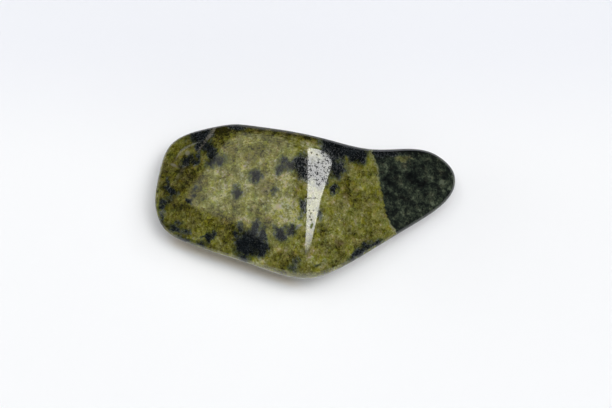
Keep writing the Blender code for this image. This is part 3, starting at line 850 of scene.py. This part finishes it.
    # brightest top of that painted highlight
    painted_ridge_glint = n.mul(n.mul(n.oval(px, py, 212.8, 131.8, 4.6, 1.4, 54), seen), n.step(fine, 0.34, 0.54))
    colour = n.mix(n.mul(painted_ridge_glint, 0.5), colour, (0.170, 0.158, 0.128))
    pale = n.mul(n.math("MAXIMUM", n.oval(px, py, 187.5, 153.0, 2.4, 2.2, 30),
                        n.oval(px, py, 173.5, 165.0, 3.0, 1.4, -20)), seen)
    colour = n.mix(n.mul(pale, 0.6), colour, (0.21, 0.20, 0.15))

    n.plug(shader.inputs["Base Color"], colour)
    shader.inputs["Metallic"].default_value = 0.0
    shader.inputs["IOR"].default_value = 1.56
    _, keep, core = n.cells(n.bend(at, 3.0, 0.12), 4.8)
    crowd = n.noise(at, 0.9, 1.0, 0.5, 0.0)
    holes = n.mul(n.step(core, 0.40, 0.24), n.step(n.add(n.add(keep, n.mul(n.mul(n.oval(px, py, 320.0, 180.5, 4.5, 6.5, -20), seen), 0.35)),
                                        n.mul(n.sub(crowd, 0.5), 3.0)), 0.30, 0.42))
    pits = n.math("MAXIMUM", n.mul(holes, n.mixf(ore, 0.0, 0.95)), n.mul(n.step(fine, 0.56, 0.62), n.mixf(ore, 0.12, 0.6)))
    pits = n.math("MAXIMUM", pits, n.math("MAXIMUM", n.mul(mark, 0.9), n.mul(slot, 0.9)))
    rough = n.mixf(pits, n.mixf(ore, 0.035, 0.045), n.mixf(ore, 0.55, 1.0))
    n.plug(shader.inputs["Roughness"], rough)
    bump = n.put("ShaderNodeBump", Height=n.sub(n.mul(grain, 0.6), pits))
    bump.inputs["Strength"].default_value = 0.08
    bump.inputs["Distance"].default_value = 0.00003
    n.plug(shader.inputs["Normal"], bump.outputs[0])
    return material


# ---- studio -----------------------------------------------------------------
# Soft lamps of the room: height above the table, bearing from +X, strength and
# how narrow.  They light the stone and table; the cards are what it mirrors.
LAMPS = [
    (82, 240, 10.5, 150), (82, 300, 14.5, 150), (74, 315, 28.8, 150), (74, 180, 8.2, 150),
    (64, 0, 6.8, 150), (64, 315, 5.0, 150), (64, 135, 1.4, 150),
    (14, 180, 1.68, 14), (14, 240, 0.21, 14), (14, 300, 0.86, 14),
]


def card(name, rows, strength, colour=(1, 1, 1), fade=0.0, distance=3.0):
    """Bright card in the sky, given by rows of mirror directions: y, left x,
    right x and brightness of each row; it fades in from its left side."""
    rows, verts, glow = np.array(rows, float), [], []
    steps, between = 12, 5
    for k in range((len(rows) - 1) * between + 1):
        i, f = min(k // between, len(rows) - 2), 0.0
        f = k / between - i
        y, left, right, g = rows[i] * (1 - f) + rows[i + 1] * f
        for x in np.linspace(left, right, steps):
            d = np.array([x, y, math.sqrt(max(0.0, 1 - x * x - y * y))])
            verts.append((d * distance + np.array([0, 0, AIM_HEIGHT * MM])).tolist())
            glow.append(g * min(1.0, (x - left + 1e-4) / fade) if fade else g)
    lines = len(verts) // steps
    faces = [(r * steps + c, (r + 1) * steps + c, (r + 1) * steps + c + 1, r * steps + c + 1)
             for r in range(lines - 1) for c in range(steps - 1)]
    return shine(name, verts, faces, glow, strength, colour)


def shine(name, verts, faces, glow, strength, colour):
    mesh = bpy.data.meshes.new(name)
    mesh.from_pydata(verts, [], faces)
    mesh.attributes.new("glow", "FLOAT", "POINT").data.foreach_set("value", glow)
    material = bpy.data.materials.new(name)
    material.use_nodes = True
    tree = material.node_tree
    tree.nodes.clear()
    n = Nodes(material)
    light = n.put("ShaderNodeEmission", Strength=n.mul(n.field("glow"), strength))
    light.inputs["Color"].default_value = tuple(colour) + (1.0,)
    out = tree.nodes.new("ShaderNodeOutputMaterial")
    tree.links.new(light.outputs[0], out.inputs[0])
    mesh.materials.append(material)
    panel = bpy.data.objects.new(name, mesh)
    bpy.context.scene.collection.objects.link(panel)
    panel.visible_camera = False
    panel.visible_shadow = False
    panel.visible_transmission = False
    panel.visible_diffuse = False
    return panel


PAINTED_BOUNCE_LINE = 0.0079       # how far in front of the stone's middle the painted warm bounce light lies


def studio():
    scene = bpy.context.scene
    world = bpy.data.worlds.new("studio")
    scene.world = world
    world.use_nodes = True
    tree = world.node_tree
    n = Nodes(world)
    back = tree.nodes["Background"]
    back.inputs["Color"].default_value = (0.985, 0.992, 1.0, 1.0)
    place = tree.nodes.new("ShaderNodeTexCoord").outputs["Generated"]
    total = 0.0
    for height, bearing, strength, narrow in LAMPS:
        e, a = math.radians(height), math.radians(bearing)
        dot = n.put("ShaderNodeVectorMath", {"operation": "DOT_PRODUCT"})
        n.plug(dot.inputs[0], place)
        dot.inputs[1].default_value = (math.cos(e) * math.cos(a), math.cos(e) * math.sin(a), math.sin(e))
        glow = n.math("EXPONENT", n.mul(n.sub(dot.outputs["Value"], 1.0), narrow))
        total = n.add(n.mul(glow, strength), total)
    n.plug(back.inputs["Strength"], total)
    world.cycles_visibility.glossy = False

    card("veil_card", [(0.04, -0.33, 0.075, 0.05), (0.11, -0.33, 0.075, 0.25), (0.17, -0.33, 0.075, 0.65),
                       (0.24, -0.33, 0.075, 1.0), (0.40, -0.33, 0.075, 1.0), (0.52, -0.33, 0.075, 0.9),
                       (0.56, -0.29, 0.08, 0.9), (0.62, -0.17, 0.085, 0.9), (0.80, -0.12, 0.09, 0.9),
                       (0.90, -0.09, 0.08, 0.6), (0.94, -0.03, 0.05, 0.3)],
         0.88, (1.0, 0.985, 0.91), fade=0.10)
    card("key_card", [(0.068, 0.25, 0.42, 0), (0.092, 0.222, 0.435, 0.25), (0.115, 0.208, 0.44, 0.60),
                      (0.14, 0.20, 0.445, 0.85), (0.20, 0.20, 0.448, 0.95), (0.24, 0.20, 0.425, 0.97),
                      (0.27, 0.20, 0.447, 1), (0.33, 0.205, 0.485, 1), (0.35, 0.20, 0.475, 1), (0.40, 0.195, 0.37, 1), (0.45, 0.19, 0.33, 1),
                      (0.525, 0.23, 0.31, 1)], 10.2, (1.0, 1.0, 0.985))

    # low band behind, in the back edge only
    verts, steps = [], 9
    for rz in (0.02, 0.08, 0.15):
        r = math.sqrt(1 - rz * rz)
        for k in range(steps):
            a = math.radians(78 + 24 * k / (steps - 1))
            verts.append((3 * r * math.cos(a), 3 * r * math.sin(a), 3 * rz + AIM_HEIGHT * MM))
    faces = [(j * steps + k, j * steps + k + 1, (j + 1) * steps + k + 1, (j + 1) * steps + k)
             for j in range(2) for k in range(steps - 1)]
    glow = [0.0 if k in (0, steps - 1) or j == 2 else 1.0 for j in range(3) for k in range(steps)]
    shine("back_card", verts, faces, glow, 0.65, (1, 1, 0.95))

    # floor, with painted shade that makes it darker towards the back
    mesh = bpy.data.meshes.new("floor")
    mesh.from_pydata([(-6, -6, 0), (6, -6, 0), (6, 6, 0), (-6, 6, 0)], [], [(0, 1, 2, 3)])
    floor = bpy.data.objects.new("floor", mesh)
    scene.collection.objects.link(floor)
    material = bpy.data.materials.new("floor")
    material.use_nodes = True
    shader = material.node_tree.nodes["Principled BSDF"]
    n = Nodes(material)
    split = n.put("ShaderNodeSeparateXYZ", Vector=n.put("ShaderNodeTexCoord").outputs["Object"])
    # painted shade: the floor's colour darkens towards the back
    tone_and_painted_light = n.mix(n.step(split.outputs["Y"], 0.006, 0.025), (0.920, 0.922, 0.930), (0.858, 0.866, 0.902))
    # painted warm bounce light from the stone, in its contact shadow along the front left
    off = n.add(n.add(n.mul(split.outputs["X"], 0.33), n.mul(split.outputs["Y"], 0.944)), PAINTED_BOUNCE_LINE)
    painted_bounce = n.mul(n.step(off, -0.0009, 0.0001), n.step(off, 0.0040, 0.0020))
    painted_bounce = n.mul(painted_bounce, n.mul(n.step(split.outputs["X"], 0.0002, -0.0030), n.step(split.outputs["X"], -0.0175, -0.0150)))
    n.plug(shader.inputs["Base Color"], n.mix(painted_bounce, tone_and_painted_light, (0.955, 0.885, 0.80)))
    shader.inputs["Roughness"].default_value = 1.0
    shader.inputs["Specular IOR Level"].default_value = 0.0
    mesh.materials.append(material)


def camera(middle):
    data = bpy.data.cameras.new("view")
    data.lens, data.sensor_width = 147.06, 36.0
    data.clip_start, data.clip_end = 0.01, 50.0
    eye = bpy.data.objects.new("view", data)
    back = Vector((0.0, -COS_E, SIN_E))
    up = Vector((0.0, SIN_E, COS_E))
    aim = Vector((0.084, 0.0, AIM_HEIGHT)) - up * 0.30 - Vector((middle[0], middle[1], 0.0))
    eye.location = (aim + back * VIEW_DISTANCE) * MM
    eye.rotation_euler = back.to_track_quat("Z", "Y").to_euler()
    bpy.context.scene.collection.objects.link(eye)
    bpy.context.scene.camera = eye


scene = bpy.context.scene
scene.view_settings.view_transform = "Standard"
scene.view_settings.look = "None"

skin, middle = build_stone()
skin.materials.append(serpentine())
pebble = bpy.data.objects.new("pebble", skin)
scene.collection.objects.link(pebble)
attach(pebble, "root")
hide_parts("stone")

studio()
camera(middle)
